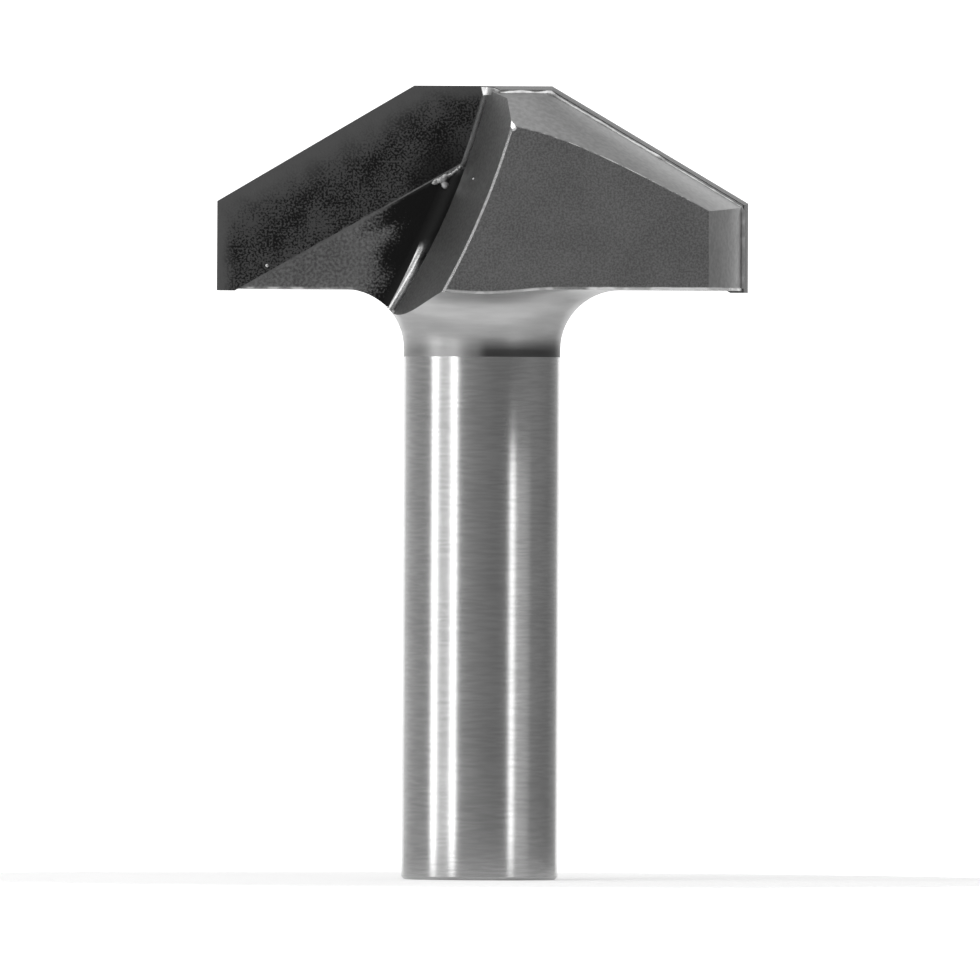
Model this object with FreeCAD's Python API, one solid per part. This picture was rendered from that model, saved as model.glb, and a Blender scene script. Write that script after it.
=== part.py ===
import FreeCAD, Part
import math
import os

# Plunge panel router bit: a steel body turned and milled in one piece, with two brazed carbide cutting tips.
# Lengths are in millimetres and angles in degrees. Z is the cutter's axis, from the shank's free end upwards.
# Each wing is made pointing along +X with its cutting face in the plane y = 0, looking along +Y. The other
# wing is the same one turned half a turn about Z. Seen from above, the bit cuts anticlockwise.

os.makedirs("parts", exist_ok=True)

# Outline of the whole cutter
overall_length = 64.4
cutting_diameter = 43.1
flat_diameter = 11.2
head_height = 16.55
side_height = 7.1

# Shank and the neck that runs out under the head
shank_diameter = 12.7
neck_fillet = 4.85
end_chamfer = 0.25

# Wings and the clearance ground behind their edges
wing_depth = 9.3
form_relief = 8.0
form_centre_back = 0.95
side_centre_ahead = 1.95
form_setback = 0.2
side_setback = 0.12
back_edge_round = 0.12

# Gullets, milled by a large disc cutter with a tapered rim and rounded corner
gullet_radius = 60.2
gullet_centre_out = 58.4
gullet_centre_above = 13.8
gullet_draft = 17.3
gullet_root_radius = 1.5
wall_edge_break = 0.2

# Carbide tips, their seats and the braze
tip_thickness = 2.4
tip_overhang = 0.15
seat_foot_radius = 19.6
seat_angle = 29.6
braze_film = 0.12
braze_rim_setback = 0.06
web_wall = 0.45
puddle_start = 3.9
puddle_length = 4.0
puddle_radius = 0.45

# Notch sawn across the web between the inner ends of the tips
notch_width = 1.3
notch_depth = 0.75

# Room that cutters have beyond the stock, and how near a coordinate must be to count as equal
run_out = 5.0
tolerance = 0.001

shank_radius = shank_diameter / 2
cutting_radius = cutting_diameter / 2
flat_radius = flat_diameter / 2
underside_z = overall_length - head_height
shoulder_z = underside_z + side_height
gullet_axis_z = overall_length + gullet_centre_above
notch_floor_z = overall_length - notch_depth

Z_AXIS = FreeCAD.Vector(0, 0, 1)
ORIGIN = FreeCAD.Vector(0, 0, 0)


def revolved(edges, foot, axis):
    """A solid turned from a closed outline about the axis through foot."""
    return Part.Face(Part.Wire(edges)).revolve(foot, axis, 360)


def straight_edges(points):
    """Edges that join the points one after another."""
    return [Part.LineSegment(a, b).toShape() for a, b in zip(points, points[1:])]


def slab(x_low, x_high, y_low, y_high, z_low, z_high):
    """A block between the two values given on each axis."""
    corner = FreeCAD.Vector(x_low, y_low, z_low)
    return Part.makeBox(x_high - x_low, y_high - y_low, z_high - z_low, corner)


def half_turned(shape):
    """The same shape on the opposite wing."""
    turned = shape.copy()
    turned.rotate(ORIGIN, Z_AXIS, 180)
    return turned


def turned_shank():
    """Shank, chamfered at its free end, with the concave neck that spreads out to the head's underside."""
    neck_z = underside_z - neck_fillet
    neck_radius = shank_radius + neck_fillet
    lean = neck_fillet * math.sqrt(0.5)
    side = [
        FreeCAD.Vector(0, 0, 0),
        FreeCAD.Vector(shank_radius - end_chamfer, 0, 0),
        FreeCAD.Vector(shank_radius, 0, end_chamfer),
        FreeCAD.Vector(shank_radius, 0, neck_z),
    ]
    neck_middle = FreeCAD.Vector(neck_radius - lean, 0, neck_z + lean)
    neck_top = FreeCAD.Vector(neck_radius, 0, underside_z)
    neck = Part.Arc(side[-1], neck_middle, neck_top).toShape()
    closing = straight_edges([neck_top, FreeCAD.Vector(0, 0, underside_z), side[0]])
    return revolved(straight_edges(side) + [neck] + closing, ORIGIN, Z_AXIS)


def wing_envelope(form_inset, side_inset, floor_z):
    """The space inside one wing's ground surfaces, drawn in from the cutting edge by the two insets.

    The sloping form is turned about an axis a little behind the cutting face and then leaned back, so that
    it falls away behind the edge. The side is an arc whose centre lies ahead of the face.
    """
    flat_reach = math.hypot(flat_radius, form_centre_back)
    shoulder_reach = math.hypot(cutting_radius, form_centre_back)
    outer_reach = cutting_radius + run_out
    fall = (overall_length - shoulder_z) / (shoulder_reach - flat_reach)
    lowered = form_inset * math.hypot(1, fall)
    top_z = overall_length - form_inset
    top_reach = flat_reach - (lowered - form_inset) / fall
    outer_z = overall_length - lowered - (outer_reach - flat_reach) * fall
    foot = FreeCAD.Vector(0, -form_centre_back, 0)
    outline = [
        foot,
        foot + FreeCAD.Vector(outer_reach, 0, 0),
        foot + FreeCAD.Vector(outer_reach, 0, outer_z),
        foot + FreeCAD.Vector(top_reach, 0, top_z),
        foot + FreeCAD.Vector(0, 0, top_z),
        foot,
    ]
    form = revolved(straight_edges(outline), foot, Z_AXIS)
    lean_back = FreeCAD.Matrix()
    lean_back.A32 = math.tan(math.radians(form_relief))
    side_foot = FreeCAD.Vector(0, side_centre_ahead, floor_z)
    side_radius = math.hypot(cutting_radius, side_centre_ahead) - side_inset
    side = Part.makeCylinder(side_radius, overall_length - floor_z, side_foot, Z_AXIS)
    return side.common(form.transformGeometry(lean_back))


def gullet_cutter(growth):
    """The disc cutter that mills the space in front of one cutting face, made larger by growth.

    Its rim tapers, so that the gullet's wall leans open, and flares at the opposite wing's back, where it
    takes off the sharp edge.
    """
    centre = FreeCAD.Vector(gullet_centre_out, 0, gullet_axis_z)
    draft = math.radians(gullet_draft)
    rim = gullet_radius + growth
    tangent = gullet_root_radius / math.tan(math.radians(90 + gullet_draft) / 2)
    flare_y = wing_depth - wall_edge_break
    flare_radius = rim + flare_y * math.tan(draft)
    end_y = wing_depth + run_out
    end_radius = flare_radius + end_y - flare_y

    def at(radius, y):
        return centre + FreeCAD.Vector(radius, y, 0)

    root_start = at(rim - tangent, 0)
    root_end = at(rim + tangent * math.sin(draft), tangent * math.cos(draft))
    towards_corner = FreeCAD.Vector(math.cos(draft), -1 - math.sin(draft), 0).normalize()
    root_middle = at(rim - tangent, gullet_root_radius) + towards_corner * gullet_root_radius
    root = Part.Arc(root_start, root_middle, root_end).toShape()
    wall = [root_end, at(flare_radius, flare_y), at(end_radius, end_y), at(0, end_y), centre, root_start]
    return revolved([root] + straight_edges(wall), centre, FreeCAD.Vector(0, 1, 0))


def ledge_directions():
    """Unit vectors up along a seat's sloping ledge and square to it, into the seat."""
    angle = math.radians(seat_angle)
    upwards = FreeCAD.Vector(-math.cos(angle), 0, math.sin(angle))
    inwards = FreeCAD.Vector(math.sin(angle), 0, math.cos(angle))
    return upwards, inwards


def seat_space(inset, depth, height):
    """The space of one carbide seat, drawn in by inset at its ledge and inner end.

    It is bounded below by the sloping ledge and inside by the arc at the gullet's foot. It reaches depth
    behind the cutting face and height in front of it.
    """
    upwards, inwards = ledge_directions()
    ledge = FreeCAD.Vector(seat_foot_radius, -depth, underside_z) + inwards * inset
    span = cutting_diameter
    corners = [
        ledge - upwards * span,
        ledge + upwards * span,
        ledge + upwards * span + inwards * span,
        ledge - upwards * span + inwards * span,
        ledge - upwards * span,
    ]
    above_ledge = Part.Face(Part.makePolygon(corners)).extrude(FreeCAD.Vector(0, depth + height, 0))
    arc_foot = FreeCAD.Vector(gullet_centre_out, -depth, gullet_axis_z)
    inside_arc = Part.makeCylinder(gullet_radius - inset, depth + height, arc_foot, FreeCAD.Vector(0, 1, 0))
    return above_ledge.common(inside_arc)


def carbide_tip(is_long):
    """One carbide plate. The long one runs past the axis and the short one stops at the web's wall."""
    tip = seat_space(braze_film, tip_thickness, 0)
    tip = tip.common(wing_envelope(0, 0, underside_z - tip_overhang))
    if is_long:
        return tip
    return tip.cut(half_turned(gullet_cutter(web_wall)))


def seat_pocket(is_long):
    """What is milled out of the steel for one tip and the braze around it."""
    pocket = seat_space(0, tip_thickness + braze_film, gullet_root_radius)
    if is_long:
        return pocket
    return pocket.cut(half_turned(gullet_cutter(web_wall - braze_film)))


def braze_puddle():
    """Braze that ran out at the ledge's inner end: a round bead lying in the corner of the gullet."""
    upwards, inwards = ledge_directions()
    ledge = FreeCAD.Vector(seat_foot_radius, 0, underside_z)
    start = ledge + upwards * ((seat_foot_radius - puddle_start) / -upwards.x)
    bead = Part.makeCylinder(puddle_radius, puddle_length, start, upwards)
    bead = bead.fuse(Part.makeSphere(puddle_radius, start))
    milled = gullet_cutter(0).fuse(seat_space(0, 0, gullet_root_radius))
    return bead.common(milled)


def tip_braze(is_long):
    """Silver braze: a film behind the tip, along its ledge and at its inner end, with the puddle."""
    film = seat_pocket(is_long).common(wing_envelope(braze_rim_setback, side_setback, underside_z))
    film = film.cut(slab(-cutting_radius, cutting_radius, 0, wing_depth, 0, overall_length))
    film = film.cut([carbide_tip(is_long), half_turned(gullet_cutter(0))])
    return film.fuse(braze_puddle()).removeSplitter()


def steel_half_head():
    """The stock of one wing from its cutting face to its back flat, with the back's upper edges rounded."""
    stock = slab(-cutting_radius, cutting_radius, -wing_depth, 0, underside_z, overall_length)
    half = stock.common(wing_envelope(form_setback, side_setback, underside_z))
    back_edges = [
        edge
        for edge in half.Edges
        if abs(edge.BoundBox.YMax + wing_depth) < tolerance and edge.BoundBox.ZMax > underside_z + tolerance
    ]
    return half.makeFillet(back_edge_round, back_edges)


def cutter_body():
    """Shank, neck, web and wings in one piece of steel."""
    half = steel_half_head()
    body = turned_shank().fuse([half, half_turned(half)])
    body = body.common(slab(-cutting_radius, cutting_radius, -wing_depth, wing_depth, 0, overall_length))
    gullet = gullet_cutter(0)
    body = body.cut([gullet, half_turned(gullet)])
    body = body.cut([seat_pocket(False), half_turned(seat_pocket(True))])
    half_notch = notch_width / 2
    notch = slab(-half_notch, half_notch, -wing_depth, wing_depth, notch_floor_z, overall_length)
    return body.cut(notch).removeSplitter()


pieces = {
    "cutter_body": cutter_body(),
    "long_carbide_tip": half_turned(carbide_tip(True)),
    "short_carbide_tip": carbide_tip(False),
    "long_tip_braze": half_turned(tip_braze(True)),
    "short_tip_braze": tip_braze(False),
}

for name, shape in pieces.items():
    shape.exportStep(f"parts/{name}.step")
    print(name, "solids", len(shape.Solids), "valid", shape.isValid(), "mm3", round(shape.Volume, 2))
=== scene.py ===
# %% [markdown]
# # A plunge panel router bit, dressed for its photograph
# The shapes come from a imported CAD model: one turned and milled steel body, two carbide tips, and the silver
# braze that holds them. This lesson gives each surface the finish that its machine left on it, and lights the
# bit as a small steel tool is lit in a studio. Everything is in metres, with Z along the cutter's axis.

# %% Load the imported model
import bmesh
import bpy
import math
from mathutils import Matrix, Vector, noise
from mathutils.interpolate import poly_3d_calc


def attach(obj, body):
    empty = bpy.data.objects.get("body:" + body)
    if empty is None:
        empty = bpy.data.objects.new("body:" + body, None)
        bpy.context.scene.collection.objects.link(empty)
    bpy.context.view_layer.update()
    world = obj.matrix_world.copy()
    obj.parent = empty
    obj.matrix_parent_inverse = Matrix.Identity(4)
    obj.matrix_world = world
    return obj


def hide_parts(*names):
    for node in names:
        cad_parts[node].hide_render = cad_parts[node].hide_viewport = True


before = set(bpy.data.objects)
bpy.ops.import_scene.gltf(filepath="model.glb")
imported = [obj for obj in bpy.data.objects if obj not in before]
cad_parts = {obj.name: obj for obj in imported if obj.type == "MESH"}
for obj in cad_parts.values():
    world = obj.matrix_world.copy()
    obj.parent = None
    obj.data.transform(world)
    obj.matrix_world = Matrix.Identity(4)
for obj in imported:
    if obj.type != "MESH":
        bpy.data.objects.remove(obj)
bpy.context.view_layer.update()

MM = 0.001
print("nodes:", sorted(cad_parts))

# %% [markdown]
# ## Camera
# The photograph looks straight at the bit's side from far away, so that its edges hardly converge. A long lens
# does the same. The scale comes from the half-inch shank, and the small roll from the way the bit stood.

# %% Long lens at the photograph's angle
PHOTO_PIXELS = 980
MM_PER_PIXEL = 0.08115
AXIS_COLUMN = 481.3
FOOT_ROW = 879.5
CAMERA_DISTANCE = 2.5
CAMERA_ROLL = 0.3
SENSOR_WIDTH = 36
CLIP_END = 20

frame_width = PHOTO_PIXELS * MM_PER_PIXEL * MM
camera_data = bpy.data.cameras.new("long_lens")
camera_data.sensor_width = SENSOR_WIDTH
camera_data.lens = SENSOR_WIDTH * CAMERA_DISTANCE / frame_width
camera_data.clip_end = CLIP_END
camera = bpy.data.objects.new("long_lens", camera_data)
bpy.context.scene.collection.objects.link(camera)
camera.location = (
    (PHOTO_PIXELS / 2 - AXIS_COLUMN) * MM_PER_PIXEL * MM,
    -CAMERA_DISTANCE,
    (FOOT_ROW - PHOTO_PIXELS / 2) * MM_PER_PIXEL * MM,
)
camera.rotation_euler = (math.radians(90), math.radians(-CAMERA_ROLL), 0)
bpy.context.scene.camera = camera
bpy.context.scene.view_settings.view_transform = "Standard"
print("lens", round(camera_data.lens), "mm, camera at", [round(v, 4) for v in camera.location])

# %% [markdown]
# ## Colours and nodes
# Colours are written as sRGB hex, as a paint chart gives them, and turned into the linear values that the
# renderer works with. Every material below is a small tree of nodes, and one function adds each of its nodes.
# The node kinds that come up often are written down once, with the setting that they are used with.


# %% Colours
def linear(hex_colour):
    """An sRGB hex colour as linear red, green, blue and alpha."""
    channels = [int(hex_colour[i : i + 2], 16) / 255 for i in (1, 3, 5)]
    return tuple(c / 12.92 if c <= 0.04045 else ((c + 0.055) / 1.055) ** 2.4 for c in channels) + (1.0,)


print("mid grey #808080 is", round(linear("#808080")[0], 3), "linear")

# %% Kinds of node
ADD = ("ShaderNodeMath", {"operation": "ADD"})
SUBTRACT = ("ShaderNodeMath", {"operation": "SUBTRACT"})
MULTIPLY = ("ShaderNodeMath", {"operation": "MULTIPLY"})
MULTIPLY_ADD = ("ShaderNodeMath", {"operation": "MULTIPLY_ADD"})
MINIMUM = ("ShaderNodeMath", {"operation": "MINIMUM"})
MAXIMUM = ("ShaderNodeMath", {"operation": "MAXIMUM"})
ABSOLUTE = ("ShaderNodeMath", {"operation": "ABSOLUTE"})
SIGN = ("ShaderNodeMath", {"operation": "SIGN"})
SQRT = ("ShaderNodeMath", {"operation": "SQRT"})
ARCTAN2 = ("ShaderNodeMath", {"operation": "ARCTAN2"})
GREATER_THAN = ("ShaderNodeMath", {"operation": "GREATER_THAN"})
VECTOR_ADD = ("ShaderNodeVectorMath", {"operation": "ADD"})
VECTOR_MULTIPLY = ("ShaderNodeVectorMath", {"operation": "MULTIPLY"})
VECTOR_SCALE = ("ShaderNodeVectorMath", {"operation": "SCALE"})
VECTOR_CROSS = ("ShaderNodeVectorMath", {"operation": "CROSS_PRODUCT"})
VECTOR_NORMALIZE = ("ShaderNodeVectorMath", {"operation": "NORMALIZE"})
MIX = ("ShaderNodeMix", {"data_type": "RGBA"})
NOISE = ("ShaderNodeTexNoise", {})
# Gives 0 to 1, or its fourth to its fifth value, while its first value goes from the second to the third.
RAMP = ("ShaderNodeMapRange", {})
SMOOTH = ("ShaderNodeMapRange", {"interpolation_type": "SMOOTHSTEP"})
print("a smooth range is a", SMOOTH[0], "node with", SMOOTH[1])


# %% The function that adds a node
def node(tree, kind, *values, **settings):
    """Adds a node with its settings, and fills its inputs with numbers or with links.

    kind is a node type or one of the pairs above. The values go to the inputs in the order that the node shows
    them, or one dictionary names the inputs. A node given as a value is linked from its first output.
    """
    type_name, usual = kind if isinstance(kind, tuple) else (kind, {})
    made = tree.nodes.new(type_name)
    for name, setting in {**usual, **settings}.items():
        setattr(made, name, setting)
    filled = zip((socket for socket in made.inputs if socket.enabled), values)
    if values and isinstance(values[0], dict):
        filled = ((made.inputs[name], value) for name, value in values[0].items())
    for socket, value in filled:
        if isinstance(value, bpy.types.Node):
            value = next(output for output in value.outputs if output.enabled)
        if isinstance(value, bpy.types.NodeSocket):
            tree.links.new(value, socket)
        else:
            socket.default_value = value
    return made


def new_material(name):
    """A material with an empty tree of nodes, and that tree."""
    material = bpy.data.materials.new(name)
    material.use_nodes = True
    material.node_tree.nodes.clear()
    return material, material.node_tree


# %% [markdown]
# ## Room
# Polished steel shows its surroundings, so the room is set out with care. Its walls are brighter or darker from
# one direction to the next, which is what draws the bands on the shank. They turn pale below the horizon, and
# grey overhead. The lens itself sees plain white, as in the photograph.

# %% Colours of the room
# Each wall colour stands at its azimuth in degrees, to the right of the camera as seen from the bit.
WALLS = (
    (-180, "#FFFFFF"),
    (-150, "#EDEDED"),
    (-131, "#CBCBCB"),
    (-113, "#B3B3B3"),
    (-84, "#A0A0A0"),
    (-36, "#A0A0A0"),
    (-20, "#9C9C9C"),
    (-8, "#909090"),
    (20, "#7C7C7C"),
    (44, "#787878"),
    (64, "#8C8C8C"),
    (87, "#8E8E8E"),
    (117, "#828282"),
    (137, "#A2A2A2"),
    (151, "#CECECE"),
    (165, "#FFFFFF"),
    (180, "#FFFFFF"),
)
BELOW_HORIZON = "#CCCCCC"
CEILING = "#A0A0A0"
# Heights on a sphere of radius 1 between which the floor turns to walls, and the walls to ceiling.
FLOOR_TO_WALLS = (-0.35, 0.0)
WALLS_TO_CEILING = (0.4, 0.8)
print("walls at", len(WALLS), "azimuths")

# %% Room
world = bpy.data.worlds.new("studio_room")
bpy.context.scene.world = world
world.use_nodes = True
tree = world.node_tree
tree.nodes.clear()
direction = node(tree, "ShaderNodeTexCoord").outputs["Generated"]
parts = node(tree, "ShaderNodeSeparateXYZ", direction).outputs
azimuth = node(tree, ARCTAN2, parts["X"], node(tree, MULTIPLY, parts["Y"], -1.0))
walls = node(tree, "ShaderNodeValToRGB", node(tree, RAMP, azimuth, -math.pi, math.pi))
stops = walls.color_ramp.elements
for stop, (degrees, colour) in zip(stops, (WALLS[0], WALLS[-1])):
    stop.position, stop.color = degrees / 360 + 0.5, linear(colour)
for degrees, colour in WALLS[1:-1]:
    stops.new(degrees / 360 + 0.5).color = linear(colour)
standing = node(tree, MIX, node(tree, RAMP, parts["Z"], *FLOOR_TO_WALLS), linear(BELOW_HORIZON), walls)
room_colour = node(tree, MIX, node(tree, RAMP, parts["Z"], *WALLS_TO_CEILING), standing, linear(CEILING))
room = node(tree, "ShaderNodeBackground", room_colour, 1.0)
white = node(tree, "ShaderNodeBackground", linear("#FFFFFF"), 1.0)
to_camera = node(tree, "ShaderNodeLightPath").outputs["Is Camera Ray"]
node(tree, "ShaderNodeOutputWorld", node(tree, "ShaderNodeMixShader", to_camera, room, white))
print("room of", len(tree.nodes), "nodes")

# %% [markdown]
# ## Table and backdrop
# The bit stands on a small round sheet of matt white card, in front of a large one. Card under studio light
# burns out to white, so both glow a little for the lens and for the metal. The glow adds light to the card and
# takes nothing away, so the bit's shadow on the table stays.


# %% White card
def paper(name, colour, glow):
    """Matt white card. What the lens and the metal see of it is lifted by glow, and its shadows stay."""
    material, tree = new_material(name)
    path = node(tree, "ShaderNodeLightPath").outputs
    seen = node(tree, ADD, path["Is Camera Ray"], path["Is Glossy Ray"])
    seen = node(tree, ADD, seen, path["Is Transmission Ray"], use_clamp=True)
    matt = node(tree, "ShaderNodeBsdfDiffuse", linear(colour))
    shine = node(tree, "ShaderNodeEmission", linear("#FFFFFF"), node(tree, MULTIPLY, seen, glow))
    node(tree, "ShaderNodeOutputMaterial", node(tree, "ShaderNodeAddShader", matt, shine))
    return material


def stage_sheet(name, bm, material):
    """Makes a flat sheet of the stage from a bmesh."""
    mesh = bpy.data.meshes.new(name)
    bm.to_mesh(mesh)
    bm.free()
    mesh.materials.append(material)
    sheet = bpy.data.objects.new(name, mesh)
    bpy.context.scene.collection.objects.link(sheet)


# %% Table and backdrop
TABLE_RADIUS = 0.05
TABLE_GLOW = 0.3
BACKDROP_DISTANCE = 2.9
BACKDROP_HALF_WIDTH = 1.5
BACKDROP_MIDDLE = 0.4
BACKDROP_GLOW = 1.0

bm = bmesh.new()
bmesh.ops.create_circle(bm, cap_ends=True, segments=96, radius=TABLE_RADIUS)
stage_sheet("pale_table", bm, paper("pale_table_paper", "#E6E6E6", TABLE_GLOW))
bm = bmesh.new()
bmesh.ops.create_grid(bm, x_segments=1, y_segments=1, size=BACKDROP_HALF_WIDTH)
bmesh.ops.rotate(bm, verts=bm.verts, matrix=Matrix.Rotation(math.radians(90), 3, "X"))
bmesh.ops.translate(bm, verts=bm.verts, vec=(0, BACKDROP_DISTANCE, BACKDROP_MIDDLE))
stage_sheet("white_backdrop", bm, paper("white_backdrop_paper", "#F2F2F2", BACKDROP_GLOW))
print("table radius", TABLE_RADIUS, "m, backdrop at", BACKDROP_DISTANCE, "m")

# %% [markdown]
# ## Lamps
# A tall strip softbox draws one straight white streak down a ground shank, so each streak in the photograph is
# one strip lamp. The third streak ends below the neck. Its lamp is small, low and close, and a honeycomb grid
# keeps its light off the head. A wide soft lamp overhead lights the table and everything that looks up.


# %% A soft lamp
def softbox(name, azimuth, distance, height, size, radiance, spread):
    """An area lamp that faces the bit, at an azimuth from the camera's side, in degrees to the right.

    Radiance is how bright its surface looks from straight ahead, where 1 is white, so a lamp of another size
    keeps its look. Spread is the angle in degrees that its light keeps within.
    """
    half = math.radians(spread) / 2
    kept = 1 - half / math.tan(half)
    lamp_data = bpy.data.lights.new(name, "AREA")
    lamp_data.shape = "RECTANGLE"
    lamp_data.size, lamp_data.size_y = size
    lamp_data.spread = math.radians(spread)
    lamp_data.energy = radiance * math.pi * size[0] * size[1] * kept
    lamp = bpy.data.objects.new(name, lamp_data)
    bpy.context.scene.collection.objects.link(lamp)
    turn = math.radians(azimuth)
    lamp.location = (distance * math.sin(turn), -distance * math.cos(turn), height)
    aim = -lamp.location
    if size[1] > size[0]:
        aim.z = 0
    lamp.rotation_euler = aim.to_track_quat("-Z", "Y").to_euler()
    lamp.visible_camera = False


# %% Lamps
OPEN = 180
GRID = 56
STRIP_TALL = 1.1
STRIP_MIDDLE = 0.43
LOW_TALL = 0.045
LOW_MIDDLE = 0.0125
# Each lamp's name, azimuth, distance, height of its middle, width and height, radiance and spread.
LAMPS = (
    ("far_left_strip", -72.5, 0.6, STRIP_MIDDLE, (0.1, STRIP_TALL), 2.9, OPEN),
    ("left_strip", -40.6, 0.6, STRIP_MIDDLE, (0.086, STRIP_TALL), 3.1, OPEN),
    ("left_fill", -57, 0.65, STRIP_MIDDLE, (0.44, STRIP_TALL), 0.5, OPEN),
    ("low_right_strip", 44.8, 0.06, LOW_MIDDLE, (0.0085, LOW_TALL), 2.7, GRID),
    ("low_right_fill", 62, 0.07, LOW_MIDDLE, (0.03, LOW_TALL), 0.38, GRID),
    ("overhead", 0, 0.01, 0.7, (1.1, 1.09), 0.8, OPEN),
)
for lamp in LAMPS:
    softbox(*lamp)
print("lamps:", [lamp[0] for lamp in LAMPS])

# %% [markdown]
# ## Cutter body
# The CAD body is one mesh of loose triangles. A merged copy of it takes its place here, so that each face can
# be given the finish of the machine that cut it. Each face keeps the number of the CAD triangle it lies in, and
# takes its shading normals from there, so curves stay exactly as smooth as the CAD's, also after a cut.

# %% Merged copy of a CAD node
MERGE_DISTANCE = 1e-6
CUT_DISTANCE = 1e-7
NEW_FACE = -1


def from_node(node_name):
    """A bmesh of a CAD node with its corners merged. Each face remembers the CAD triangle it comes from."""
    bm = bmesh.new()
    bm.from_mesh(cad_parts[node_name].data)
    source = bm.faces.layers.int.new("source_face")
    for face in bm.faces:
        face[source] = face.index
    bmesh.ops.remove_doubles(bm, verts=bm.verts, dist=MERGE_DISTANCE)
    print(node_name, "merged to", len(bm.verts), "corners")
    return bm, source


def close_rim(bm, source, outwards):
    """Fills the open rim that a cut has left, with new faces that look outwards."""
    rim = [edge for edge in bm.edges if edge.is_boundary]
    cap = bmesh.ops.triangle_fill(bm, edges=rim, use_beauty=True, normal=outwards)
    for face in (part for part in cap["geom"] if isinstance(part, bmesh.types.BMFace)):
        face[source] = NEW_FACE
    print("rim of", len(rim), "edges closed,", sum(edge.is_boundary for edge in bm.edges), "still open")


# %% The CAD's exact normals
def normals_from_cad(mesh, cad):
    """A normal for each face corner, taken from the CAD triangle that it lies in. New faces are flat."""
    normals = [None] * len(mesh.loops)
    for face, source in zip(mesh.polygons, mesh.attributes["source_face"].data):
        if source.value == NEW_FACE:
            for corner in face.loop_indices:
                normals[corner] = face.normal.copy()
            continue
        origin = cad.polygons[source.value]
        corners = [cad.vertices[v].co for v in origin.vertices]
        for corner in face.loop_indices:
            shares = poly_3d_calc(corners, mesh.vertices[mesh.loops[corner].vertex_index].co)
            weighted = [cad.corner_normals[i].vector * s for i, s in zip(origin.loop_indices, shares)]
            normals[corner] = sum(weighted, Vector()).normalized()
    return normals


# %% A piece of the object
def shown_piece(name, bm, slot, *replaced):
    """Makes the bmesh a piece of the object, in place of the CAD nodes that it replaces."""
    mesh = bpy.data.meshes.new(name)
    bm.to_mesh(mesh)
    bm.free()
    mesh.materials.clear()
    if "source_face" in mesh.attributes:
        normals = normals_from_cad(mesh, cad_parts[replaced[0]].data)
        mesh.attributes.remove(mesh.attributes["source_face"])
        mesh.normals_split_custom_set(normals)
    piece = bpy.data.objects.new(name, mesh)
    bpy.context.scene.collection.objects.link(piece)
    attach(piece, "root")
    if replaced:
        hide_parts(*replaced)
    print(name, len(mesh.vertices), "vertices,", len(mesh.polygons), "faces")
    return piece


# %% [markdown]
# ## Which machine cut which face
# The sizes here are the CAD model's, in millimetres. A face belongs to a cut when its middle lies on that cut's
# surface: the shank's cylinder, the neck's arc, the leaning form behind each edge, the side that is an arc, or
# the cone and the rounded corner that the disc cutter leaves in a gullet.

# %% Sizes of the cuts
SHANK_RADIUS = 6.35
GROUND_END = 42.4
NECK_FILLET = 4.85
HEAD_FOOT = 47.85
HEAD_TOP = 64.4
SHOULDER = 54.95
BACK_FLAT = 9.3
CUTTING_RADIUS = 21.55
GULLET_OUT, GULLET_HEIGHT, GULLET_RADIUS = 58.4, 78.2, 60.2
GULLET_DRAFT = math.radians(17.3)
ROOT_RADIUS = 1.5
NOTCH_HALF = 0.65
FORM_AXIS_BACK, FORM_SETBACK, FORM_LEAN = 0.95, 0.2, math.radians(8)
FORM_FALL, FLAT_REACH = 0.5948, 5.68
SIDE_AXIS_AHEAD, SIDE_RADIUS = 1.95, 21.518
SEAT_ANGLE = math.radians(29.6)
SEAT_FOOT = 19.6

root_start = GULLET_RADIUS - ROOT_RADIUS / math.tan((math.pi / 2 + GULLET_DRAFT) / 2)
root_end_depth = ROOT_RADIUS * (1 - math.sin(GULLET_DRAFT))


def form_height(x, depth, inset):
    """Height of the form behind the edge, drawn in by inset, at a place beside the axis and behind the face."""
    reach = math.hypot(x, depth - FORM_AXIS_BACK)
    slope = HEAD_TOP - inset * math.hypot(1, FORM_FALL) - (reach - FLAT_REACH) * FORM_FALL
    return min(slope, HEAD_TOP - inset) - depth * math.tan(FORM_LEAN)


print("the form falls from", round(form_height(0, 0, 0), 2), "to", round(form_height(CUTTING_RADIUS, 0, 0), 2), "mm")

# %% Name the cut of a face
NEAR = 0.04
FACING = 0.99
FACING_UP_LEANED = 0.98


def cut_of(centre, normal):
    """The cut that made a face, from the face's middle in millimetres and its normal."""
    turn = 1 if centre.y <= 0 else -1
    x, depth, z = turn * centre.x, abs(centre.y), centre.z
    if z < GROUND_END:
        return "ground_shank"
    from_fillet = Vector((math.hypot(x, depth) - SHANK_RADIUS - NECK_FILLET, z - HEAD_FOOT + NECK_FILLET)).length
    if z < HEAD_FOOT and abs(from_fillet - NECK_FILLET) < NEAR:
        return "turned_neck"
    if abs(normal.y) > FACING:
        return "back_flat" if depth > BACK_FLAT - NEAR else "cutting_plane"
    if normal.z < -FACING:
        return "underside"
    rim = math.hypot(x + GULLET_OUT, z - GULLET_HEIGHT)
    if abs(rim - GULLET_RADIUS - depth * math.tan(GULLET_DRAFT)) < NEAR and depth > root_end_depth:
        return "gullet_wall"
    if depth < root_end_depth and abs(math.hypot(rim - root_start, depth - ROOT_RADIUS) - ROOT_RADIUS) < NEAR:
        return "gullet_root"
    if abs(form_height(x, depth, FORM_SETBACK) - z) < NEAR:
        return "top_flat_painted_darker" if normal.z > FACING_UP_LEANED else "ground_form"
    if abs(math.hypot(x, depth + SIDE_AXIS_AHEAD) - SIDE_RADIUS) < NEAR:
        return "ground_side"
    if abs(x) < NOTCH_HALF + NEAR:
        return "sawn_notch"
    if x > SHANK_RADIUS and z < SHOULDER:
        return "back_flat"
    return "broken_edge"


print("a face belongs to a cut within", NEAR, "mm")

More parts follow.
